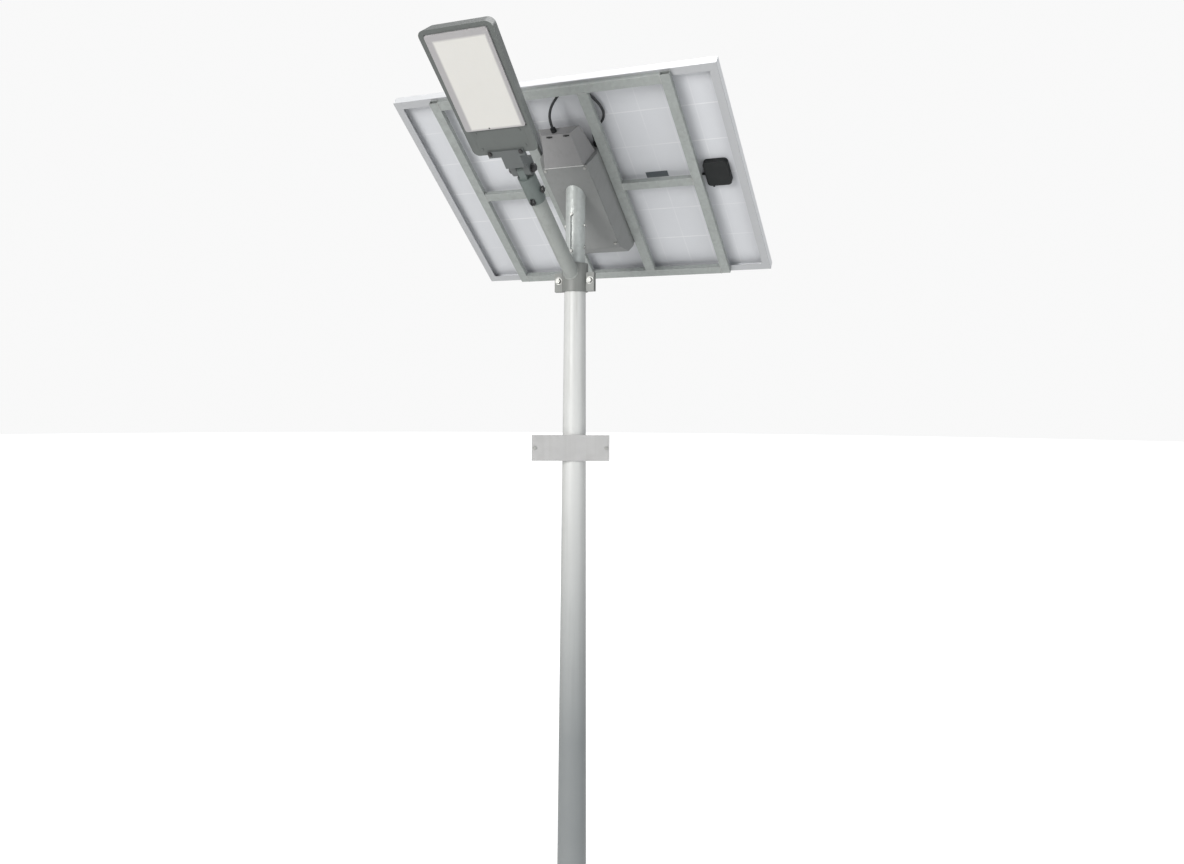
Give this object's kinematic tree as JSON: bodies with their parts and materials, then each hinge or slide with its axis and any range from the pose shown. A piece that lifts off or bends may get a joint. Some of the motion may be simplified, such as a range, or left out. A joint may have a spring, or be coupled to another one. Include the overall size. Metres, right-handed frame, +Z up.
{
  "type": "solar street lamp",
  "caption": "Solar street lamp: a tapered pole with a tilted solar module and battery box on a turning mast sleeve, and a swivelling arm with a tilting flat LED head.",
  "frame": {"origin": "centre of the base plate's underside, where the pole axis meets the foundation", "axes": "+Z up along the pole; the lamp arm points to -Y and the module faces up and to +Y; +X to the right when facing the lamp head's underside from -Y"},
  "size_m": [1.278, 1.4237, 4.389],
  "materials": {
    "pole_paint": "satin, light grey paint",
    "galvanised": "dull spangled zinc",
    "arm_paint": "satin grey-green powder coat",
    "box_paint": "matt grey powder coat",
    "lamp_paint": "satin grey-green powder coat on die cast aluminium",
    "zinc_bolt": "bright zinc plate",
    "black_bolt": "black oxide",
    "sign_sheet": "brushed, lightly weathered",
    "anodised": "clear satin anodised",
    "backsheet": "matt polymer film",
    "cell_blue": "dark blue silicon wafers",
    "front_glass": "tempered glass",
    "lens_opal": "opal polycarbonate",
    "seal_rubber": "black silicone",
    "board_white": "white solder mask",
    "led_yellow": "phosphor",
    "black_plastic": "fine moulded grain",
    "battery_wrap": "shrink wrap",
    "board_green": "circuit board",
    "label_film": "blank grey film",
    "cable_rubber": "black cable sheath"
  },
  "bodies": {
    "pole": {"base_plate": "galvanised", "pole_tube": "pole_paint", "base_gusset_1": "galvanised", "base_gusset_2": "galvanised", "base_gusset_3": "galvanised", "base_gusset_4": "galvanised", "pole_spigot": "galvanised", "sign_band": "galvanised", "sign_bar": "galvanised", "sign_plate": "sign_sheet", "sign_bolts": "zinc_bolt"},
    "arm": {"collar_front": "arm_paint", "collar_rear": "arm_paint", "collar_bolts": "zinc_bolt", "arm_tube": "arm_paint", "lamp_socket": "lamp_paint", "socket_bolts": "black_bolt"},
    "lamp": {"lamp_housing": "lamp_paint", "lens": "lens_opal", "lens_gasket": "seal_rubber", "led_board": "board_white", "led_chips": "led_yellow", "led_driver": "black_plastic", "driver_cover": "lamp_paint", "cover_screws": "zinc_bolt", "tilt_bracket": "arm_paint", "bracket_bolts": "black_bolt", "tilt_bolt": "black_bolt"},
    "panel": {"mast_sleeve": "galvanised", "mast_bolts": "zinc_bolt", "saddle_plate": "box_paint", "battery_box_shell": "box_paint", "battery_tray": "box_paint", "battery_pack": "battery_wrap", "control_box_shell": "box_paint", "control_box_lid": "box_paint", "controller_board": "board_green", "box_screws": "zinc_bolt", "rail_left": "galvanised", "rail_right": "galvanised", "rail_front": "galvanised", "rail_back": "galvanised", "rail_inner_left": "galvanised", "rail_inner_right": "galvanised", "cross_rail_left": "galvanised", "cross_rail_right": "galvanised", "tray_cleats": "galvanised", "frame_front": "anodised", "frame_back": "anodised", "frame_left": "anodised", "frame_right": "anodised", "backsheet": "backsheet", "glass": "front_glass", "solar_cells": "cell_blue", "junction_box_base": "black_plastic", "rating_label": "label_film", "module_bolts": "zinc_bolt", "panel_cable": "cable_rubber", "cable_glands": "black_plastic"},
    "junction_lid": {"junction_box_lid": "black_plastic"}
  },
  "joints": [
    {"name": "arm_swivel", "type": "hinge", "parent": "pole", "child": "arm", "pos_m": [0, 0, 3.686], "axis": [0, 0, 1], "range_deg": [-25, 25]},
    {"name": "lamp_tilt", "type": "hinge", "parent": "arm", "child": "lamp", "pos_m": [0, -0.44487, 4.01513], "axis": [1, 0, 0], "range_deg": [-10, 30]},
    {"name": "panel_turn", "type": "hinge", "parent": "pole", "child": "panel", "pos_m": [0, 0, 3.86], "axis": [0, 0, 1], "range_deg": [-20, 20]},
    {"name": "junction_lid_hinge", "type": "hinge", "parent": "panel", "child": "junction_lid", "pos_m": [0.578, 0.10755, 4.071], "axis": [0, -0.7986, 0.6018], "range_deg": [0, 90]}
  ]
}
